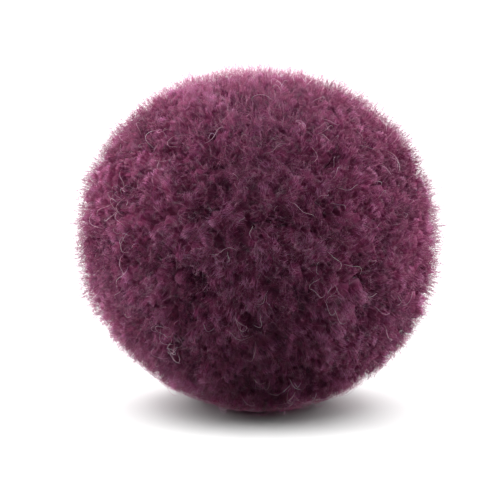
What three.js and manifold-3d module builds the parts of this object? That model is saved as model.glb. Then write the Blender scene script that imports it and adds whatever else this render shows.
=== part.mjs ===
// A plush pom-pom: wool yarn wound in a hank, bound tightly round its middle, cut open and trimmed to a ball.
// Units are millimetres and +Z is up. The origin is on the floor, under the middle of the ball.
import * as THREE from "three";
import { mergeVertices } from "three/addons/utils/BufferGeometryUtils.js";
import Module from "manifold-3d";

// The trimmed ball. Its waist is where it is widest, and it sags a little onto the floor.
const BALL_WIDTH = 50;
const CROWN_ABOVE_WAIST = 23.2;
const WAIST_ABOVE_FLOOR = 23.8;

// The bound heart of the ball, where the binding draws all the yarn together.
const HEART_WIDTH = 30;
const HEART_FACETS = 1; // how often each face of the heart is split

// The locks of cut yarn, which spring from the heart and end at the trimmed surface.
const LOCK_COUNT = 290;
const LOCK_STRAY = 0.035; // how far a lock may lie from its even place, in radians
const LOCK_GAP_SHARE = 0.12; // the share of its room that a lock leaves open round itself
const LOCK_TURNS = 9; // ways that a lock is turned in its room, to find the one that fills it best
const ROOT_DEPTH = 2.6; // how far a lock's root is sunk in the heart
const TRIM_UNEVENNESS = 0.8; // how much further out one lock may end than the next
const LOCK_LEAN = 0.08; // how far a lock's end may lean from its root, in radians
const LEAN_WAVES = 3.1; // slow waves in that leaning across the ball

// A lock's four-sided sections, from its root to its cut end. Rise is the share of the way from root to end,
// and girth is the share of the lock's full thickness.
const LOCK_SECTIONS = [
  { place: "root", rise: 0.0, girth: 0.84 },
  { place: "shoulder", rise: 0.86, girth: 1.0 },
  { place: "cut end", rise: 1.0, girth: 0.66 },
];

// Soft lumps and hollows that the scissors left in the ball, and the direction in which each lies.
const TRIM_LUMPS = [
  { x: -1.0, y: -0.3, z: 0.05, rise: 0.35, spread: 0.35 },
  { x: 0.85, y: -0.2, z: -0.5, rise: 0.3, spread: 0.4 },
  { x: 0.6, y: 0.1, z: 0.8, rise: -0.25, spread: 0.35 },
  { x: -0.6, y: -0.2, z: 0.75, rise: 0.25, spread: 0.3 },
  { x: 0.1, y: 1.0, z: 0.2, rise: 0.3, spread: 0.45 },
  { x: -0.3, y: 0.7, z: -0.6, rise: -0.25, spread: 0.4 },
];

const WOOL = { color: 0x6a3453, roughness: 1.0, metalness: 0.0 };

const BALL_RADIUS = BALL_WIDTH / 2;
const HEART_RADIUS = HEART_WIDTH / 2;
const DOWN = new THREE.Vector3(0, 0, -1);

// A number from -0.5 to 0.5 that is always the same for the same key, and looks drawn by chance.
function chance(key) {
  const stirred = Math.sin(key * 12.9898 + 4.1414) * 43758.5453;
  return stirred - Math.floor(stirred) - 0.5;
}

// The directions in which the locks spring from the heart. They wind round it in an even spiral, each a little
// out of place, and the first one points straight down.
function lockDirections() {
  const turn = Math.PI * (3 - Math.sqrt(5));
  const directions = Array.from({ length: LOCK_COUNT }, (_, i) => {
    const height = 1 - (2 * i + 1) / LOCK_COUNT;
    const stray = new THREE.Vector3(chance(3 * i), chance(3 * i + 1), chance(3 * i + 2));
    const direction = new THREE.Vector3();
    direction.setFromCylindricalCoords(Math.sqrt(1 - height * height), i * turn, height);
    return direction.addScaledVector(stray, 2 * LOCK_STRAY).normalize();
  });
  const tip = new THREE.Quaternion().setFromUnitVectors(directions[0], DOWN);
  return directions.map((direction) => direction.applyQuaternion(tip));
}

// How far a lock can spread to one side of its direction before it meets the seam with a neighbour, which lies
// half-way to it.
function roomBeside(own, sideways, others) {
  const seams = others.map((other) => {
    const towards = sideways.dot(other);
    return towards > 0 ? (1 - own.dot(other)) / towards : Infinity;
  });
  return Math.min(...seams);
}

// The four corners of a lock, as steps sideways from its own direction. They touch the seams, and of several
// ways round, the one with the largest section is kept.
function lockCorners(own, all) {
  const others = all.filter((other) => other !== own && other.dot(own) > 0.8);
  const across = new THREE.Vector3(own.y, own.z, own.x).cross(own).normalize();
  let best = { area: 0 };
  for (let k = 0; k < LOCK_TURNS; k++) {
    const corners = [0, 1, 2, 3].map((side) => {
      const angle = (Math.PI / 2) * (side + k / LOCK_TURNS);
      const sideways = across.clone().applyAxisAngle(own, angle);
      return sideways.multiplyScalar(roomBeside(own, sideways, others));
    });
    const [a, b, c, d] = corners.map((corner) => corner.length());
    const area = ((a + c) * (b + d)) / 2;
    if (area > best.area) best = { area, corners };
  }
  return best.corners;
}

// How far the trimmed surface lies from the middle of the ball: a flattened dome above the waist, a round bowl
// below it, and the scissors' lumps on both.
function trimmedReach(direction) {
  const flat = Math.hypot(direction.x, direction.y) / BALL_RADIUS;
  const upright = direction.z / (direction.z > 0 ? CROWN_ABOVE_WAIST : BALL_RADIUS);
  const lumps = TRIM_LUMPS.reduce((sum, lump) => {
    const apart = direction.angleTo(new THREE.Vector3(lump.x, lump.y, lump.z));
    return sum + lump.rise * Math.exp(-((apart / lump.spread) ** 2));
  }, 0);
  return 1 / Math.hypot(flat, upright) + lumps;
}

// How far a lock may reach before it meets the floor.
function floorReach(direction) {
  return direction.z < 0 ? WAIST_ABOVE_FLOOR / -direction.z : Infinity;
}

// Turns a direction at a lock's root to where its cut end leans. The lock at the very underside stays upright.
function lean(direction) {
  const most = LOCK_LEAN * Math.min(1, 1 + direction.z);
  const shift = new THREE.Vector3(
    Math.sin(LEAN_WAVES * direction.y + 1.0),
    Math.sin(LEAN_WAVES * direction.z + 2.3),
    Math.sin(LEAN_WAVES * direction.x + 4.1),
  );
  return direction.clone().addScaledVector(shift, most).normalize();
}

// One lock: a four-sided bar whose edges are led out from the heart to the trimmed surface. A lock under the
// ball is cut shorter, so that its end lies level on the floor.
function lockGeometry(own, corners, key) {
  const last = LOCK_SECTIONS.length - 1;
  const bar = new THREE.CylinderGeometry(1, 1, 1, 4, last);
  bar.deleteAttribute("normal");
  bar.deleteAttribute("uv");
  const { position } = bar.attributes;
  const proud = TRIM_UNEVENNESS * chance(key + 0.5);
  const rootReach = HEART_RADIUS - ROOT_DEPTH;
  for (let i = 0; i < position.count; i++) {
    const { rise, girth } = LOCK_SECTIONS[Math.round((position.getY(i) + 0.5) * last)];
    const onAxis = Math.hypot(position.getX(i), position.getZ(i)) < 0.5;
    const side = Math.round(Math.atan2(position.getX(i), position.getZ(i)) / (Math.PI / 2));
    const spread = onAxis ? 0 : girth * (1 - LOCK_GAP_SHARE);
    const upright = own.clone().addScaledVector(corners[(side + 4) % 4], spread).normalize();
    const leaning = upright.clone().lerp(lean(upright), rise).normalize();
    const endReach = Math.min(trimmedReach(leaning) + proud, floorReach(leaning));
    const reach = THREE.MathUtils.lerp(rootReach, endReach, rise);
    position.setXYZ(i, leaning.x * reach, leaning.y * reach, leaning.z * reach + WAIST_ABOVE_FLOOR);
  }
  return mergeVertices(bar);
}

function heartGeometry() {
  const heart = new THREE.IcosahedronGeometry(HEART_RADIUS, HEART_FACETS);
  heart.translate(0, 0, WAIST_ABOVE_FLOOR);
  heart.deleteAttribute("normal");
  heart.deleteAttribute("uv");
  return mergeVertices(heart);
}

const wasm = await Module();
wasm.setup();

function solidOf(geometry) {
  return new wasm.Manifold(
    new wasm.Mesh({
      numProp: 3,
      vertProperties: geometry.attributes.position.array,
      triVerts: new Uint32Array(geometry.index.array),
    }),
  );
}

function geometryOf(solid) {
  const { vertProperties, triVerts } = solid.getMesh();
  return new THREE.BufferGeometry()
    .setAttribute("position", new THREE.BufferAttribute(vertProperties, 3))
    .setIndex(new THREE.BufferAttribute(triVerts, 1));
}

// The whole ball: every lock joined to the heart by its root, centred over the origin.
function pompomGeometry() {
  const directions = lockDirections();
  const locks = directions.map((own, key) => lockGeometry(own, lockCorners(own, directions), key));
  const joined = locks.reduce((ball, lock) => ball.add(solidOf(lock)), solidOf(heartGeometry()));
  const geometry = geometryOf(joined);
  geometry.computeBoundingBox();
  const middle = geometry.boundingBox.getCenter(new THREE.Vector3());
  geometry.translate(-middle.x, -middle.y, 0);
  geometry.computeVertexNormals();
  return geometry;
}

const yarnBall = new THREE.Mesh(
  pompomGeometry(),
  new THREE.MeshStandardMaterial({ ...WOOL, flatShading: true }),
);
yarnBall.name = "yarn_ball";

const pompom = new THREE.Group();
pompom.add(yarnBall);

export default pompom;
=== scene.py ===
import math

import bpy
import numpy as np
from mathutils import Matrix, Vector


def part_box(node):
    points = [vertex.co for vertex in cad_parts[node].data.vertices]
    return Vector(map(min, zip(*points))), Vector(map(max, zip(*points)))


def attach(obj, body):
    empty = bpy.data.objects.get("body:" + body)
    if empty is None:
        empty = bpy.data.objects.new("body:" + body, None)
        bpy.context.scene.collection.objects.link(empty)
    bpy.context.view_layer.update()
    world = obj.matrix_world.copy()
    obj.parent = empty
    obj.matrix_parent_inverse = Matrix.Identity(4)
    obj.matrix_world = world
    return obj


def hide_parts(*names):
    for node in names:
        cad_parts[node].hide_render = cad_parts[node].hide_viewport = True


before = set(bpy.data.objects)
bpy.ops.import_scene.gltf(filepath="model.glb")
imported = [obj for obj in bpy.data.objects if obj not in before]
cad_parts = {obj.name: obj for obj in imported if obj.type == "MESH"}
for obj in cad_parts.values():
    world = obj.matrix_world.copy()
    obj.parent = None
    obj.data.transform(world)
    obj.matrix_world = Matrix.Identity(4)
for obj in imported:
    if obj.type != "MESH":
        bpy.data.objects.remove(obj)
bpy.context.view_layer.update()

# The bound heart of the ball. The whole hank of wool yarn is drawn together here by its binding, so tightly
# that it is one firm lump. Its wool is coloured near black as painted shade, and it shows only as the dark
# that lies between the cut ends.
MM = 0.001
WAIST_SHARE = 0.494  # how high the widest part lies, as a share of the ball's height
HEART_RADIUS = 15.5 * MM
HEART_ROWS = 40
HEART_COLUMNS = 80
RIDGES = 9  # ridges of drawn yarn, side by side round the heart
RIDGE_HEIGHT = 0.4 * MM
RIDGE_SWING = 5  # how far a ridge swings sideways on its way up, in radians of its own wave
# painted shade: the heart's mottled colours are near black, for the shade deep inside the ball
BOUND_SHADE_DARK = (0.03, 0.008, 0.016, 1)
BOUND_SHADE_PALE = (0.12, 0.026, 0.06, 1)
BOUND_MOTTLE_FINENESS = 900
ball_low, ball_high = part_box("yarn_ball")
ball_width = ball_high.x - ball_low.x
waist_height = WAIST_SHARE * (ball_high.z - ball_low.z)
ball_middle = np.array([0, 0, waist_height])
heart_turn, heart_tilt = np.meshgrid(
    np.linspace(0, 2 * math.pi, HEART_COLUMNS, endpoint=False),
    np.linspace(0, math.pi, HEART_ROWS + 1)[1:-1],
)
ridge_wave = RIDGES * heart_turn + RIDGE_SWING * np.sin(2 * heart_tilt)
heart_reach = HEART_RADIUS + RIDGE_HEIGHT * np.sin(ridge_wave)
heart_out = np.sin(heart_tilt)
heart_rings = np.stack(
    [heart_out * np.cos(heart_turn), heart_out * np.sin(heart_turn), -np.cos(heart_tilt)], axis=-1
)
heart_rings = (heart_rings * heart_reach[..., None]).reshape(-1, 3)
heart_poles = [[0, 0, -HEART_RADIUS], [0, 0, HEART_RADIUS]]
heart_points = ball_middle + np.concatenate([heart_rings, heart_poles])
bottom_pole, top_pole = len(heart_rings), len(heart_rings) + 1
last_ring = len(heart_rings) - HEART_COLUMNS
heart_faces = []
for k in range(HEART_COLUMNS):
    beside = (k + 1) % HEART_COLUMNS
    heart_faces.append([beside, k, bottom_pole])
    heart_faces.append([last_ring + k, last_ring + beside, top_pole])
    for ring in range(0, last_ring, HEART_COLUMNS):
        above = ring + HEART_COLUMNS
        heart_faces.append([ring + k, ring + beside, above + beside, above + k])
heart_mesh = bpy.data.meshes.new("bound_heart")
heart_mesh.from_pydata(heart_points.tolist(), [], heart_faces)
heart_mesh.shade_smooth()
heart = bpy.data.objects.new("bound_heart", heart_mesh)
bpy.context.scene.collection.objects.link(heart)
shaded_bound_wool = bpy.data.materials.new("shaded_bound_wool")
shaded_bound_wool.use_nodes = True
bound_nodes, bound_links = shaded_bound_wool.node_tree.nodes, shaded_bound_wool.node_tree.links
bound_nodes["Principled BSDF"].inputs["Roughness"].default_value = 1
bound_nodes["Principled BSDF"].inputs["Specular IOR Level"].default_value = 0.05
bound_place = bound_nodes.new("ShaderNodeTexCoord")
bound_mottle = bound_nodes.new("ShaderNodeTexNoise")
bound_mottle.inputs["Scale"].default_value = BOUND_MOTTLE_FINENESS
bound_mottle.inputs["Detail"].default_value = 3
bound_colour = bound_nodes.new("ShaderNodeValToRGB")
bound_colour.color_ramp.elements[0].position = 0.35
bound_colour.color_ramp.elements[0].color = BOUND_SHADE_DARK
bound_colour.color_ramp.elements[1].position = 0.65
bound_colour.color_ramp.elements[1].color = BOUND_SHADE_PALE
bound_links.new(bound_place.outputs["Object"], bound_mottle.inputs["Vector"])
bound_links.new(bound_mottle.outputs["Fac"], bound_colour.inputs["Fac"])
bound_links.new(bound_colour.outputs["Color"], bound_nodes["Principled BSDF"].inputs["Base Color"])
heart_mesh.materials.append(shaded_bound_wool)
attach(heart, "root")

# The cut yarn. Every strand of soft wool yarn runs out from the heart, and was trimmed with scissors to the
# round of the ball. Its end has opened into a domed tuft of wisps, each a small lock of fibres that stands
# nearly upright and leans a little to one side.
YARN_ENDS = 1340
YARN_STRAY = 0.014  # how far a yarn end may lie from its even place, in radians
NEARLY_UPRIGHT = 0.9  # a direction with more than this share upwards counts as upright
chance = np.random.default_rng(seed=11)


def unit(vectors):
    return vectors / np.linalg.norm(vectors, axis=-1, keepdims=True)


def sideways(ways):
    """Two directions square to each of these and to each other."""
    upright = np.where(np.abs(ways[:, 2:]) < NEARLY_UPRIGHT, [[0.0, 0.0, 1.0]], [[1.0, 0.0, 0.0]])
    first = unit(np.cross(ways, upright))
    return first, np.cross(ways, first)


def spread_over_ball(count, stray):
    """Directions spaced evenly over the ball on a spiral, each moved a little from its place."""
    place = np.arange(count)
    height = 1 - (2 * place + 1) / count
    turn = place * math.pi * (3 - math.sqrt(5))
    out = np.sqrt(1 - height**2)
    ways = np.stack([out * np.cos(turn), out * np.sin(turn), height], axis=1)
    return unit(ways + chance.normal(0, stray, ways.shape))


TRIM_SHARE = 0.951  # how far the tufts reach, as a share of what the furthest lock of the solid does
CROWN_SHARE = 0.941  # the same for the tufts at the crown
TRIM_SQUARENESS = 2.1  # 2 would be a true oval
TRIM_LUMPS = (  # soft lumps and hollows that the scissors left: direction, rise, and spread in radians
    ((-1.0, -0.3, 0.05), 0.35 * MM, 0.35),
    ((0.85, -0.2, -0.5), 0.7 * MM, 0.4),
    ((1.0, -0.2, 0.1), 0.25 * MM, 0.4),
    ((-0.75, -0.2, -0.65), -0.4 * MM, 0.4),
    ((-0.5, -0.3, -0.85), -0.5 * MM, 0.3),
    ((0.5, -0.3, -0.85), -0.25 * MM, 0.3),
    ((-0.5, -0.2, 0.85), 0.3 * MM, 0.3),
    ((0.1, 1.0, 0.2), 0.3 * MM, 0.45),
    ((-0.3, 0.7, -0.6), -0.25 * MM, 0.4),
)
LEAST_SLOPE = 0.1  # a direction flatter than this leaves the ball before it meets the floor
FLOOR_CLEARANCE = 0.09 * MM
trim_radius = TRIM_SHARE * ball_width / 2
crown_height = CROWN_SHARE * (ball_high.z - waist_height)


def floor_reach(ways):
    """How far the floor lies from the ball's middle, along each of these directions."""
    return waist_height / np.maximum(-ways[..., 2], LEAST_SLOPE)


def trimmed_reach(ways):
    """How far the trimmed surface lies from the ball's middle, along each of these directions."""
    level = np.linalg.norm(ways[..., :2], axis=-1) / trim_radius
    upright = ways[..., 2] / np.where(ways[..., 2] > 0, crown_height, trim_radius)
    reach = (level**TRIM_SQUARENESS + np.abs(upright) ** TRIM_SQUARENESS) ** (-1 / TRIM_SQUARENESS)
    for lump_way, rise, spread in TRIM_LUMPS:
        apart = np.arccos(np.clip(ways @ unit(np.array(lump_way)), -1, 1))
        reach += rise * np.exp(-((apart / spread) ** 2))
    return np.minimum(reach, floor_reach(ways))


def settle(points):
    """Keeps yarn above the floor, where the ball's own weight presses it flat."""
    points[..., 2] = np.maximum(points[..., 2], FLOOR_CLEARANCE)
    return points


CLUMP_WAVE_COUNT = 24  # slow waves that make neighbouring tufts stand higher or lower together, with painted shade where they stand low
CLUMP_WAVES = 16  # how closely these waves follow each other
CLUMP_RISE = 0.17 * MM
# painted shade: how much darker the tufts in the low parts of the waves are coloured
CLUMP_PAINTED_SHADE = 0.32


def slow_waves(ways):
    """A smooth swell over the ball, made of many waves in chance directions."""
    waves = chance.normal(0, CLUMP_WAVES, (3, CLUMP_WAVE_COUNT))
    swell = np.sin(ways @ waves + chance.uniform(0, 2 * math.pi, CLUMP_WAVE_COUNT)).sum(axis=1)
    return math.sqrt(2 / CLUMP_WAVE_COUNT) * swell


MAP_MARGIN = 0.02
MAP_HEIGHT = 0.96
MAP_SHADES = 0.94  # the width of the map over which shade runs
MAP_ROUND = 0.01  # the width that one fibre takes up round its own girth


def wool_tubes(name, paths, radii, sides, shade, up_to=1.0):
    """One mesh of many closed tubes, each along its own path and drawn to a point at both ends.

    The map runs across by shade and up from root to tip, so that a fibre's colour can be read from it.
    """
    count, stations, _ = paths.shape
    rings = stations - 2
    along = unit(np.gradient(paths, axis=1))
    first, _ = sideways(along[:, 1])
    across = unit(np.cross(along, first[:, None]))
    over = np.cross(along, across)
    angle = np.arange(sides) * 2 * math.pi / sides
    ring = np.cos(angle)[:, None] * across[:, 1:-1, None] + np.sin(angle)[:, None] * over[:, 1:-1, None]
    ring = paths[:, 1:-1, None] + radii[:, :, None, None] * ring
    points = np.concatenate([ring.reshape(count, rings * sides, 3), paths[:, :1], paths[:, -1:]], axis=1)

    root, tip = rings * sides, rings * sides + 1
    faces = []
    for side in range(sides):
        beside = (side + 1) % sides
        faces.append([beside, side, root])
        for level in range(rings - 1):
            here, there = level * sides + side, level * sides + beside
            faces.append([here, there, there + sides, here + sides])
        faces.append([root - sides + side, root - sides + beside, tip])
    corners = np.concatenate(faces)
    starts = np.cumsum([0] + [len(face) for face in faces[:-1]])
    tube = np.arange(count)[:, None]
    corner_points = corners + tube * points.shape[1]
    face_starts = starts + tube * len(corners)

    mesh = bpy.data.meshes.new(name)
    mesh.vertices.add(count * points.shape[1])
    mesh.vertices.foreach_set("co", points.astype(np.float32).ravel())
    mesh.loops.add(count * len(corners))
    mesh.loops.foreach_set("vertex_index", corner_points.astype(np.int32).ravel())
    mesh.polygons.add(count * len(faces))
    mesh.polygons.foreach_set("loop_start", face_starts.astype(np.int32).ravel())
    mesh.update(calc_edges=True)
    mesh.shade_smooth()

    up = np.append(np.repeat(np.arange(1, stations - 1), sides), [0, stations - 1]) / (stations - 1)
    up_map = MAP_MARGIN + MAP_HEIGHT * up_to * up[corners]
    round_share = np.append(np.tile(np.arange(sides), rings), [sides / 2, sides / 2]) / sides
    across_map = MAP_MARGIN + MAP_SHADES * shade[:, None] + MAP_ROUND * round_share[corners]
    shade_map = mesh.uv_layers.new(name="OFBake")
    places = np.stack([across_map, np.broadcast_to(up_map, across_map.shape)], axis=-1)
    shade_map.data.foreach_set("uv", places.astype(np.float32).ravel())

    piece = bpy.data.objects.new(name, mesh)
    bpy.context.scene.collection.objects.link(piece)
    return piece


MATT = (0.95, 0.05)  # roughness, and how strongly it mirrors
LIGHT_SPREAD = (1.0, 0.6, 0.8)  # red light goes furthest through dyed wool
SHEEN_TINT = (0.85, 0.45, 0.66, 1)
STREAK_FINENESS = (1600, 7, 1)  # across the shades and along the fibre
STREAK_NOISE = (0.3, 0.7)
STREAK_STRENGTH = (0.75, 1.25)
MIX_FIRST, MIX_SECOND, MIX_RESULT = 6, 7, 2  # the colour sockets of a Mix node


def wool_material(name, painted_shade_by_length, by_shade, light_depth, sheen, shine=MATT):
    """Dyed wool that lets some light through: one colour ramp from root to tip, which is painted shade
    towards the root and painted light towards the tip, tinted by another, which goes from the darkest fibre
    to the palest, and fine streaks along the fibre."""
    material = bpy.data.materials.new(name)
    material.use_nodes = True
    nodes, links = material.node_tree.nodes, material.node_tree.links
    wool = nodes["Principled BSDF"]
    wool.inputs["Roughness"].default_value = shine[0]
    wool.inputs["Specular IOR Level"].default_value = shine[1]
    wool.inputs["Subsurface Weight"].default_value = 1
    wool.inputs["Subsurface Radius"].default_value = LIGHT_SPREAD
    wool.inputs["Subsurface Scale"].default_value = light_depth
    wool.inputs["Sheen Weight"].default_value = sheen
    wool.inputs["Sheen Roughness"].default_value = 0.5
    wool.inputs["Sheen Tint"].default_value = SHEEN_TINT
    place = nodes.new("ShaderNodeUVMap")
    place.uv_map = "OFBake"
    split = nodes.new("ShaderNodeSeparateXYZ")
    links.new(place.outputs["UV"], split.inputs["Vector"])
    tint = nodes.new("ShaderNodeMix")
    tint.data_type = "RGBA"
    tint.blend_type = "MULTIPLY"
    tint.inputs["Factor"].default_value = 1
    for stops, source, target in ((painted_shade_by_length, "Y", MIX_FIRST), (by_shade, "X", MIX_SECOND)):
        ramp = nodes.new("ShaderNodeValToRGB")
        ramp.color_ramp.elements.remove(ramp.color_ramp.elements[0])
        for k, (position, colour) in enumerate(stops):
            stop = ramp.color_ramp.elements[0] if k == 0 else ramp.color_ramp.elements.new(position)
            stop.position = position
            stop.color = (*colour, 1)
        links.new(split.outputs[source], ramp.inputs["Fac"])
        links.new(ramp.outputs["Color"], tint.inputs[target])
    stretch = nodes.new("ShaderNodeMapping")
    stretch.inputs["Scale"].default_value = STREAK_FINENESS
    links.new(place.outputs["UV"], stretch.inputs["Vector"])
    streaks = nodes.new("ShaderNodeTexNoise")
    streaks.inputs["Scale"].default_value = 1
    streaks.inputs["Detail"].default_value = 1
    links.new(stretch.outputs["Vector"], streaks.inputs["Vector"])
    strength = nodes.new("ShaderNodeMapRange")
    strength.inputs["From Min"].default_value = STREAK_NOISE[0]
    strength.inputs["From Max"].default_value = STREAK_NOISE[1]
    strength.inputs["To Min"].default_value = STREAK_STRENGTH[0]
    strength.inputs["To Max"].default_value = STREAK_STRENGTH[1]
    links.new(streaks.outputs["Fac"], strength.inputs["Value"])
    streaked = nodes.new("ShaderNodeVectorMath")
    streaked.operation = "SCALE"
    links.new(tint.outputs[MIX_RESULT], streaked.inputs["Vector"])
    links.new(strength.outputs["Result"], streaked.inputs["Scale"])
    links.new(streaked.outputs["Vector"], wool.inputs["Base Color"])
    return material


TRIM_UNEVENNESS = 0.1 * MM
TUFT_RADIUS = (1.28 * MM, 1.55 * MM)
END_SHADE = (0.52, 0.18)  # the shade of most yarn ends, and how far one strays from it
end_ways = spread_over_ball(YARN_ENDS, YARN_STRAY)
end_first, end_second = sideways(end_ways)
clump = slow_waves(end_ways)
end_heading = np.arctan2(slow_waves(end_ways), slow_waves(end_ways))
end_top = trimmed_reach(end_ways) + CLUMP_RISE * clump + chance.normal(0, TRIM_UNEVENNESS, YARN_ENDS)
end_top = np.minimum(end_top, floor_reach(end_ways))
end_tuft = chance.uniform(*TUFT_RADIUS, YARN_ENDS)
# each yarn end's tone, which strays at random, with painted shade added where the slow waves lower the tufts
end_tone_and_shade = np.clip(chance.normal(*END_SHADE, YARN_ENDS) + CLUMP_PAINTED_SHADE * clump, 0, 1)

WISPS_PER_END = 4
WISP_STRAY = 0.45  # how far a wisp may lean away from the way its tuft leans, in radians
WISP_BEND = 0.7  # how far it turns aside along its length, in radians
WISP_LENGTH = (0.5 * MM, 1.7 * MM)
WISP_OUT = (0.15, 0.7)  # how far from the middle of its tuft it stands, in tuft radii
WISP_SHIFT = 0.35  # how far it may lie from its even place round the tuft, as a share of its room there
WISP_PROUD = 0.09 * MM
WISP_SHADE = 0.05
wisps = (YARN_ENDS, WISPS_PER_END)
wisp_heading = end_heading[:, None] + chance.normal(0, WISP_STRAY, wisps)
wisp_bend = chance.normal(0, WISP_BEND, wisps)
wisp_length = chance.uniform(*WISP_LENGTH, wisps)
wisp_out = end_tuft[:, None] * chance.uniform(*WISP_OUT, wisps)
wisp_place = np.arange(WISPS_PER_END) + chance.uniform(-WISP_SHIFT, WISP_SHIFT, wisps)
wisp_turn = 2 * math.pi * wisp_place / WISPS_PER_END
wisp_turn += chance.uniform(0, 2 * math.pi, (YARN_ENDS, 1))
wisp_proud = chance.normal(0, WISP_PROUD, wisps)
wisp_shade = chance.normal(0, WISP_SHADE, wisps)

FIBRES_PER_END = 54
FIBRE_RADIUS = 0.055 * MM
FIBRE_GIRTHS = (0.7, 1.3)  # the finest fibre and the thickest, in fibre radii
FIBRE_SIDES = 3
FIBRE_RISE = (0.0, 0.65, 1.0)  # where a fibre's points lie on the way from its root to its tip
FIBRE_STRAY = 0.25  # how far a fibre may lean away from its wisp, in radians
FIBRE_BEND = 0.3
FIBRE_LENGTHS = (0.6, 1.2)  # the shortest fibre and the longest, as shares of its wisp's length
FIBRE_SPREAD = 0.25 * MM
FIBRE_PROUD = 0.12 * MM
FIBRE_ARCH = 0.7  # how much of an arch it makes where it stands proud, in half turns
LEAN_LATE = 1.4  # above 1, a fibre leans most near its tip
RISE_EARLY = 1.3  # above 1, it rises most near its root
TUFT_DEPTH = 2.2 * MM
TUFT_DOME = 0.72 * MM
DOME_EDGE = 1.4  # how far out the dome of a tuft falls away, in tuft radii
FIBRE_SHADE = 0.07
PALE_FIBRES = 0.07  # the share of fibres that took up less dye
PALE_SHADE = 0.35
EDGE_PAINTED_SHADE = 0.23  # painted shade: how much darker a tuft's fibres are coloured at its edge, where less light gets in
EDGE_OUT = 1.2  # how far out that darkening goes on, in tuft radii


def out_in_tuft(owner, x, y, most):
    """How far each fibre lies from the middle of its tuft, in tuft radii."""
    return np.minimum(np.hypot(x, y) / end_tuft[owner], most)


def beside_end(owner, height, x, y):
    """Points at these distances out from the ball's middle and to the sides of each fibre's own yarn end."""
    points = ball_middle + end_ways[owner] * height[:, None]
    return points + end_first[owner] * x[:, None] + end_second[owner] * y[:, None]


def tuft_fibres(name, owner):
    """Fibres that come up out of their yarn and lean to the side, along with the rest of their wisp."""
    count = len(owner)
    wisp = chance.integers(0, WISPS_PER_END, count)
    heading = wisp_heading[owner, wisp] + chance.normal(0, FIBRE_STRAY, count)
    bend = wisp_bend[owner, wisp] + chance.normal(0, FIBRE_BEND, count)
    length = wisp_length[owner, wisp] * chance.uniform(*FIBRE_LENGTHS, count)
    out, turn = wisp_out[owner, wisp], wisp_turn[owner, wisp]
    x = out * np.cos(turn) + chance.normal(0, FIBRE_SPREAD, count)
    y = out * np.sin(turn) + chance.normal(0, FIBRE_SPREAD, count)
    proud = chance.normal(0, FIBRE_PROUD, count)
    stations = []
    for k, share in enumerate(FIBRE_RISE):
        if k > 0:
            step = length * (share**LEAN_LATE - FIBRE_RISE[k - 1] ** LEAN_LATE)
            way = heading + bend * (share + FIBRE_RISE[k - 1]) / 2
            x, y = x + step * np.cos(way), y + step * np.sin(way)
        drop = TUFT_DOME * out_in_tuft(owner, x, y, DOME_EDGE) ** 2
        height = end_top[owner] + wisp_proud[owner, wisp] - drop - TUFT_DEPTH * (1 - share) ** RISE_EARLY
        height += proud * math.sin(share * FIBRE_ARCH * math.pi)
        stations.append(beside_end(owner, height, x, y))
    paths = settle(np.stack(stations, axis=1))
    radii = FIBRE_RADIUS * chance.uniform(*FIBRE_GIRTHS, (count, 1))
    pale = PALE_SHADE * (chance.uniform(0, 1, count) < PALE_FIBRES)
    shade = end_tone_and_shade[owner] + wisp_shade[owner, wisp] + chance.normal(0, FIBRE_SHADE, count) + pale
    # painted shade at the edge of each tuft
    shade -= EDGE_PAINTED_SHADE * out_in_tuft(owner, x, y, EDGE_OUT) ** 2
    return wool_tubes(name, paths, radii, FIBRE_SIDES, np.clip(shade, 0, 1))


SECTORS = 5  # the ball is made in so many upright slices, side by side round it
STRAND_ROOT = 0.9 * HEART_RADIUS
STRAND_BELOW = 1.35 * MM  # how far the end of a strand lies under the top of its own tuft
STRAND_RISE = np.array([0.0, 0.84, 0.93, 0.98, 1.0])
STRAND_GIRTH = np.array([1.3, 1.15, 0.65])  # between its two pointed ends, in tuft radii
STRAND_SIDES = 5
# painted shade: no strand is coloured paler than this, so the strands deep under the tufts stay dark
STRAND_SHADE_PALEST = 0.45
STRAND_SHADE_UP_TO = 0.2  # painted shade: a strand has the dark colours of the lowest fifth of a fibre
plum_wool = wool_material(
    "plum_wool",
    # painted shade and light: fibres are coloured dark and saturated at the root, deep in the pile, and paler
    # and greyer at the tip
    painted_shade_by_length=(
        (0.0, (0.25, 0.05, 0.125)),
        (0.4, (0.4, 0.078, 0.21)),
        (0.75, (0.54, 0.122, 0.312)),
        (1.0, (0.65, 0.198, 0.425)),
    ),
    by_shade=((0.0, (0.4, 0.38, 0.4)), (0.5, (1.0, 1.0, 1.0)), (1.0, (1.38, 1.95, 1.65))),
    light_depth=0.05 * MM,
    sheen=0.12,
)
end_sector = (np.arctan2(end_ways[:, 1], end_ways[:, 0]) / (2 * math.pi) + 0.5) * SECTORS
end_sector = np.minimum(end_sector.astype(int), SECTORS - 1)
for sector in range(SECTORS):
    ends = np.flatnonzero(end_sector == sector)
    strand_length = end_top[ends] - STRAND_BELOW - STRAND_ROOT
    strand_height = STRAND_ROOT + STRAND_RISE * strand_length[:, None]
    strand_paths = settle(ball_middle + end_ways[ends][:, None] * strand_height[..., None])
    strand_radii = end_tuft[ends][:, None] * STRAND_GIRTH
    strand_shade = np.minimum(end_tone_and_shade[ends], STRAND_SHADE_PALEST)
    strands = wool_tubes(
        f"strands_{sector}", strand_paths, strand_radii, STRAND_SIDES, strand_shade, up_to=STRAND_SHADE_UP_TO
    )
    cut_yarn = tuft_fibres(f"cut_yarn_{sector + 1}", np.repeat(ends, FIBRES_PER_END))
    bpy.ops.object.select_all(action="DESELECT")
    strands.select_set(True)
    cut_yarn.select_set(True)
    bpy.context.view_layer.objects.active = cut_yarn
    bpy.ops.object.join()
    cut_yarn.data.materials.append(plum_wool)
    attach(cut_yarn, "root")
    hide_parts("yarn_ball")

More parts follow.
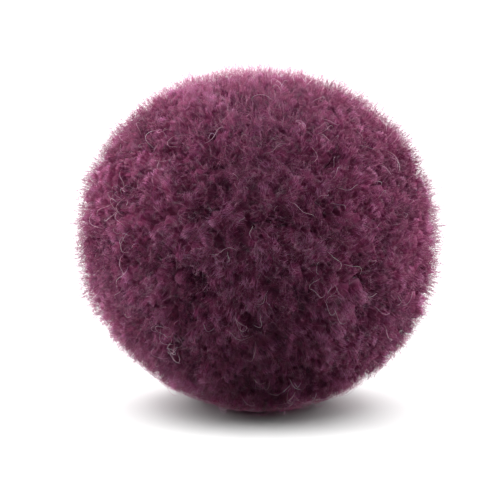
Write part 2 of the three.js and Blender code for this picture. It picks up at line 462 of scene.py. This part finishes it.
# The fuzz. Finer fibres of the same wool stick out of every cut end, bend over and lie across the tufts.
# They are too thin to hide the tufts when seen from straight above, and they blur the edge of the ball, where
# many lie one behind another.
FUZZ_PER_END = 60
FUZZ_RADIUS = 0.014 * MM
FUZZ_GIRTHS = (0.7, 1.3)  # the finest fibre and the thickest, in fuzz radii
FUZZ_SPREAD = 0.58  # how far from the middle of its tuft a fibre is rooted, in tuft radii
FUZZ_ROOT_DEPTH = 0.7 * MM
FUZZ_STANDS = 1.15 * MM
FUZZ_STANDS_AT_MOST = 3.0 * MM
FUZZ_CREST = 0.65  # the height of its middle, as a share of how far it stands out
FUZZ_DROOP = (0.5, 1.1)  # the height of its tip, as shares of the same
FUZZ_SWEEP = 1.0 * MM
FUZZ_CREST_SWEEP = 0.4  # how much of its sweep to the side it has made at the middle
FUZZ_CURL = 0.5 * MM
FUZZ_DOME = 0.3 * MM
UNDERSIDE_FROM = -0.3  # the upward share of a direction below which the fuzz gets shorter
UNDERSIDE_SHORTER = 1.6
UNDERSIDE_LEAST = 0.1
FUZZ_SHADE = (-0.2, 0.15)  # how its shade differs from that of its yarn end, and strays from that
FUZZ_PAINTED_LIGHT = 0.75  # painted light: how much paler the fibre that stands out furthest is coloured, which lightens the rim of the ball
fuzz_wool = wool_material(
    "fuzz_wool",
    # painted shade and light: the fuzz is coloured darker at its root, below the tops of the tufts, and paler
    # at its tip
    painted_shade_by_length=((0.0, (0.31, 0.042, 0.128)), (0.5, (0.41, 0.066, 0.172)), (1.0, (0.5, 0.22, 0.32))),
    by_shade=((0.0, (0.5, 0.42, 0.46)), (0.5, (1.0, 1.0, 1.0)), (1.0, (1.25, 1.9, 1.6))),
    light_depth=0.035 * MM,
    sheen=0.1,
)
for sector in range(SECTORS):
    owner = np.repeat(np.flatnonzero(end_sector == sector), FUZZ_PER_END)
    count = len(owner)
    stands = np.minimum(chance.exponential(FUZZ_STANDS, count), FUZZ_STANDS_AT_MOST)
    above_underside = end_ways[owner, 2] - UNDERSIDE_FROM
    stands *= np.clip(1 + UNDERSIDE_SHORTER * above_underside, UNDERSIDE_LEAST, 1)
    x, y = chance.normal(0, FUZZ_SPREAD, (2, count)) * end_tuft[owner]
    sweep_x, sweep_y = chance.normal(0, FUZZ_SWEEP, (2, count))
    curl_x, curl_y = chance.normal(0, FUZZ_CURL, (2, count))
    droop = chance.uniform(*FUZZ_DROOP, count)
    surface = end_top[owner] - FUZZ_DOME * out_in_tuft(owner, x, y, DOME_EDGE) ** 2
    crest_x = x + FUZZ_CREST_SWEEP * sweep_x + curl_x
    crest_y = y + FUZZ_CREST_SWEEP * sweep_y + curl_y
    fuzz_root = beside_end(owner, surface - FUZZ_ROOT_DEPTH, x, y)
    fuzz_crest = beside_end(owner, surface + FUZZ_CREST * stands, crest_x, crest_y)
    fuzz_tip = beside_end(owner, surface + droop * stands, x + sweep_x, y + sweep_y)
    fuzz_paths = settle(np.stack([fuzz_root, fuzz_crest, fuzz_tip], axis=1))
    fuzz_radii = FUZZ_RADIUS * chance.uniform(*FUZZ_GIRTHS, (count, 1))
    fuzz_shade = end_tone_and_shade[owner] + chance.normal(*FUZZ_SHADE, count)
    # painted light: the taller the fuzz, the paler it is coloured
    fuzz_shade = np.clip(fuzz_shade + FUZZ_PAINTED_LIGHT * stands / FUZZ_STANDS_AT_MOST, 0, 1)
    fuzz = wool_tubes(f"fuzz_{sector + 1}", fuzz_paths, fuzz_radii, FIBRE_SIDES, fuzz_shade)
    fuzz.data.materials.append(fuzz_wool)
    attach(fuzz, "root")

# The loose hairs. Single long fibres, paler and shinier than the rest, have worked out of the wool yarn. They
# are held only by their roots, and lie over the tufts in curls and loops, a few together.
LOOSE_HAIRS = 440
HAIR_GROUPS = 170
HAIR_SPREAD = 0.07  # how far a hair may lie from the middle of its group, in radians
HAIR_STATIONS = 9
HAIR_LENGTH = (1.0 * MM, 4.2 * MM)
HAIR_RADIUS = 0.029 * MM
HAIR_GIRTHS = (1.0, 0.7)  # near its root and near its tip, in hair radii
HAIR_BEND = 1.9  # how far it turns along its length, in radians
HAIR_WAVE = 0.5  # how far it waves from side to side on the way, in radians
HAIR_WAVES = 7
HAIR_SUNK = 0.5 * MM
HAIR_LIFT = (0.6 * MM, 1.6 * MM)
HAIR_ARCH = 0.8  # how much of an arch it makes over the tufts, in half turns
hair_groups = unit(chance.normal(0, 1, (HAIR_GROUPS, 3)))
hair_ways = hair_groups[chance.integers(0, HAIR_GROUPS, LOOSE_HAIRS)]
hair_ways = unit(hair_ways + chance.normal(0, HAIR_SPREAD, hair_ways.shape))
hair_first, hair_second = sideways(hair_ways)
hair_heading = chance.uniform(0, 2 * math.pi, (LOOSE_HAIRS, 1))
hair_bend = chance.normal(0, HAIR_BEND, (LOOSE_HAIRS, 1))
hair_step = chance.uniform(*HAIR_LENGTH, (LOOSE_HAIRS, 1)) / (HAIR_STATIONS - 1)
hair_lift = chance.uniform(*HAIR_LIFT, (LOOSE_HAIRS, 1))
hair_rise = np.linspace(0, 1, HAIR_STATIONS)
hair_wave = HAIR_WAVE * np.sin(HAIR_WAVES * hair_rise + hair_heading)
hair_turn = hair_heading + hair_bend * hair_rise + hair_wave
hair_x = np.cumsum(hair_step * np.cos(hair_turn), axis=1)
hair_y = np.cumsum(hair_step * np.sin(hair_turn), axis=1)
hair_spots = hair_x[..., None] * hair_first[:, None] + hair_y[..., None] * hair_second[:, None]
hair_spots = unit(hair_ways[:, None] + hair_spots / trim_radius)
hair_arch = hair_lift * np.sin(HAIR_ARCH * math.pi * hair_rise)
hair_height = trimmed_reach(hair_spots) - HAIR_SUNK + hair_arch
hair_paths = settle(ball_middle + hair_spots * hair_height[..., None])
hair_radii = HAIR_RADIUS * np.linspace(*HAIR_GIRTHS, HAIR_STATIONS - 2) * np.ones((LOOSE_HAIRS, 1))
hair_shade = chance.uniform(0, 1, LOOSE_HAIRS)
hairs = wool_tubes("loose_hairs", hair_paths, hair_radii, FIBRE_SIDES, hair_shade)
hair_wool = wool_material(
    "hair_wool",
    # painted shade: the hair is coloured a little darker towards its root
    painted_shade_by_length=((0.0, (1.0, 0.56, 0.75)), (1.0, (1.0, 0.7, 0.83))),
    by_shade=((0.0, (0.75, 0.6, 0.68)), (0.5, (1.0, 0.95, 1.0)), (1.0, (1.04, 1.3, 1.18))),
    light_depth=0.02 * MM,
    sheen=1.0,
    shine=(0.35, 0.8),
)
hairs.data.materials.append(hair_wool)
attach(hairs, "root")

# The floor is a plain white table top, which the ball only stands on. It throws no light back at the ball,
# and is so bright that only a soft dark patch is left where the ball touches it.
FLOOR_HALF = 3.0
FLOOR_COLOUR = (0.9, 0.9, 0.9, 1)
floor_mesh = bpy.data.meshes.new("floor")
floor_corners = [(-1, -1), (1, -1), (1, 1), (-1, 1)]
floor_points = [(x * FLOOR_HALF, y * FLOOR_HALF, 0) for x, y in floor_corners]
floor_mesh.from_pydata(floor_points, [], [(0, 1, 2, 3)])
floor = bpy.data.objects.new("floor", floor_mesh)
bpy.context.scene.collection.objects.link(floor)
floor_white = bpy.data.materials.new("floor_white")
floor_white.use_nodes = True
floor_shader = floor_white.node_tree.nodes["Principled BSDF"]
floor_shader.inputs["Base Color"].default_value = FLOOR_COLOUR
floor_shader.inputs["Roughness"].default_value = 0.9
floor_shader.inputs["Specular IOR Level"].default_value = 0.0
floor_mesh.materials.append(floor_white)
floor.visible_diffuse = False

# The light is soft and comes from both sides and from behind, with a faint one in front, so the rim of the
# ball is pale and its middle is dark. The floor has lights of its own, which wash it out to the white of the
# room.
ROOM_BRIGHTNESS = 1.05
world = bpy.data.worlds.new("white_room")
bpy.context.scene.world = world
world.use_nodes = True
world.node_tree.nodes["Background"].inputs["Color"].default_value = (1, 1, 1, 1)
world.node_tree.nodes["Background"].inputs["Strength"].default_value = ROOM_BRIGHTNESS
world.cycles_visibility.diffuse = False
world.cycles_visibility.glossy = False
floor_only = bpy.data.collections.new("floor_only")
all_but_floor = bpy.data.collections.new("all_but_floor")
for group in (floor_only, all_but_floor):
    group.objects.link(floor)
all_but_floor.collection_objects[0].light_linking.link_state = "EXCLUDE"
STUDIO_LIGHTS = (  # name, where it shines from, how wide it is in degrees, strength, what it lights
    ("left", (-1.0, 0.3, 0.26), 75, 5.9, all_but_floor),
    ("right", (1.0, 0.3, 0.26), 75, 5.0, all_but_floor),
    ("back_left", (-0.7, 0.7, 0.15), 60, 2.8, all_but_floor),
    ("back_right", (0.7, 0.7, 0.15), 60, 2.8, all_but_floor),
    ("front", (0.0, -1.0, 0.7), 120, 0.2, all_but_floor),
    ("floor_left", (-1.0, 0.23, 0.8), 55, 3.0, floor_only),
    ("floor_right", (1.0, 0.23, 0.8), 55, 2.4, floor_only),
    ("floor_back", (0.0, 1.0, 0.5), 84, 3.2, floor_only),
    ("floor_above", (0.0, 0.0, 1.0), 84, 3.3, floor_only),
)
for name, source, width_degrees, strength, lit in STUDIO_LIGHTS:
    lamp = bpy.data.lights.new(name, "SUN")
    lamp.angle = math.radians(width_degrees)
    lamp.energy = strength
    light = bpy.data.objects.new(name, lamp)
    light.rotation_euler = Vector(source).to_track_quat("Z", "Y").to_euler()
    light.light_linking.receiver_collection = lit
    bpy.context.scene.collection.objects.link(light)
bpy.context.scene.view_settings.view_transform = "Standard"

# The camera looks slightly down at the ball from the front, through a long lens. The ball stands a little
# above the middle of the picture and to the right of it.
IMAGE_SIDE = 500
BALL_PIXELS = 361
BALL_RIGHT_PIXELS = 7.5  # how far the ball's middle lies to the right of the picture's
BALL_UP_PIXELS = 14  # how far its waist lies above the picture's middle
OUTLINE_SHARE = 0.985  # the even outline, as a share of what the furthest lock reaches
CAMERA_ELEVATION = math.radians(8)
LENS = 150
camera_data = bpy.data.cameras.new("camera")
camera_data.lens = LENS
camera_data.sensor_width = 36
pixel = OUTLINE_SHARE * ball_width / BALL_PIXELS
distance = IMAGE_SIDE * pixel * LENS / camera_data.sensor_width
aim = Vector((-BALL_RIGHT_PIXELS * pixel, 0, waist_height - BALL_UP_PIXELS * pixel))
camera = bpy.data.objects.new("camera", camera_data)
camera.location = aim + distance * Vector((0, -math.cos(CAMERA_ELEVATION), math.sin(CAMERA_ELEVATION)))
camera.rotation_euler = (aim - camera.location).to_track_quat("-Z", "Y").to_euler()
bpy.context.scene.collection.objects.link(camera)
bpy.context.scene.camera = camera
